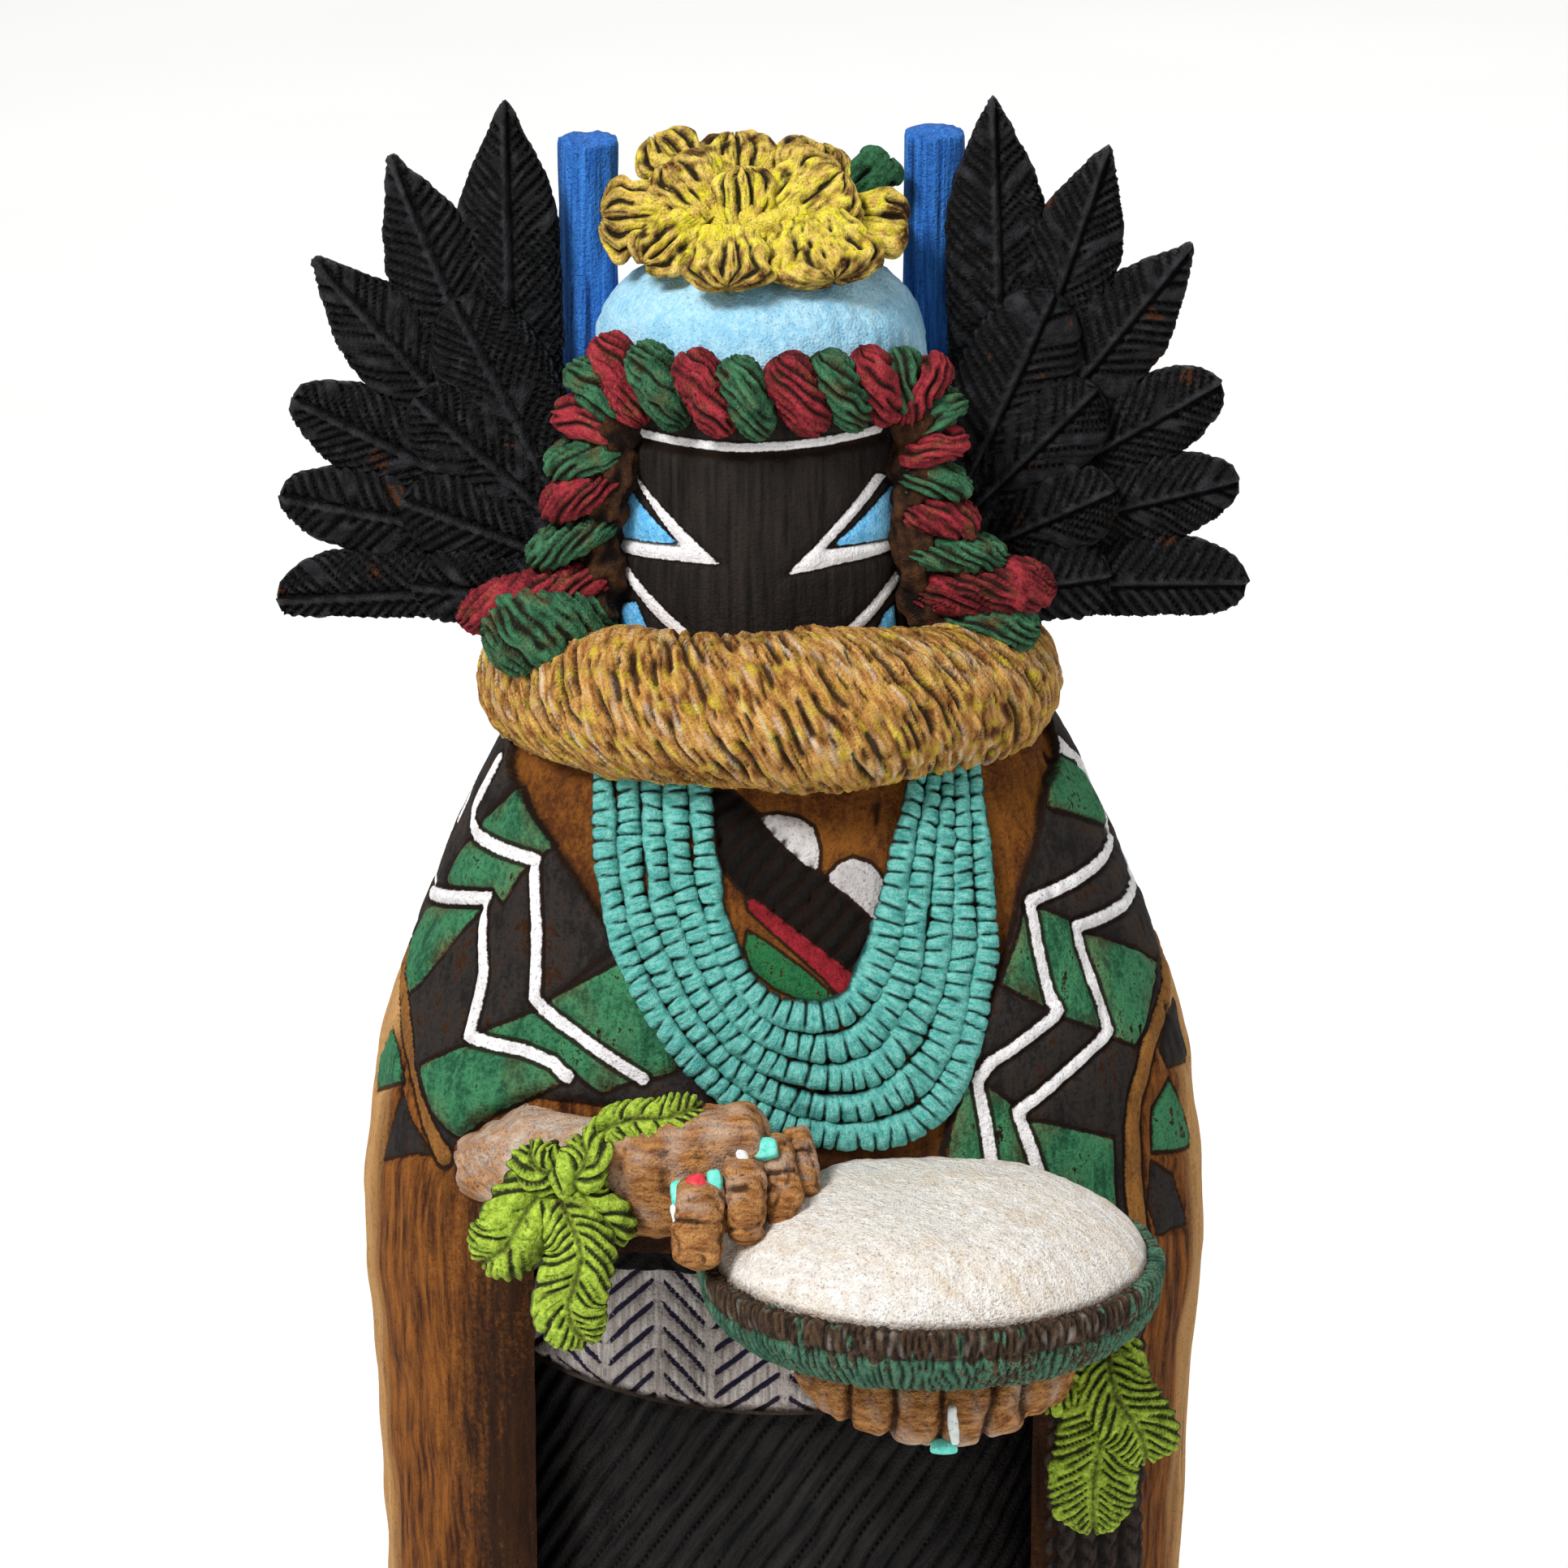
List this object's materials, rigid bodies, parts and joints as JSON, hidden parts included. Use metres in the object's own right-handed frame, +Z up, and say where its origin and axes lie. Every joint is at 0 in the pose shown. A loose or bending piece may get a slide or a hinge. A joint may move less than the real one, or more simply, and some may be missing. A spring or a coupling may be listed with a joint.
{
  "type": "kachina doll",
  "caption": "Carved and painted wooden kachina doll with feather fans, a petal crown, turquoise necklaces and a basket of meal, standing on a low oval base.",
  "frame": {"origin": "middle of the base's underside", "axes": "+Z up along the figure; the figure faces -Y; +X is towards the figure's left hand"},
  "size_m": [0.1112, 0.1038, 0.2741],
  "materials": {
    "carved_wood": "stained and hand painted, matte",
    "base_wood": "stained, matte",
    "black_feathers": "black paint, matte",
    "blue_rods": "blue paint, matte",
    "yellow_petals": "yellow paint over brown, matte"
  },
  "bodies": {
    "root": {"figure": "carved_wood", "base": "base_wood", "right_feather_fan": "black_feathers", "left_feather_fan": "black_feathers", "right_head_rod": "blue_rods", "left_head_rod": "blue_rods", "petal_crown": "yellow_petals"}
  },
  "joints": []
}
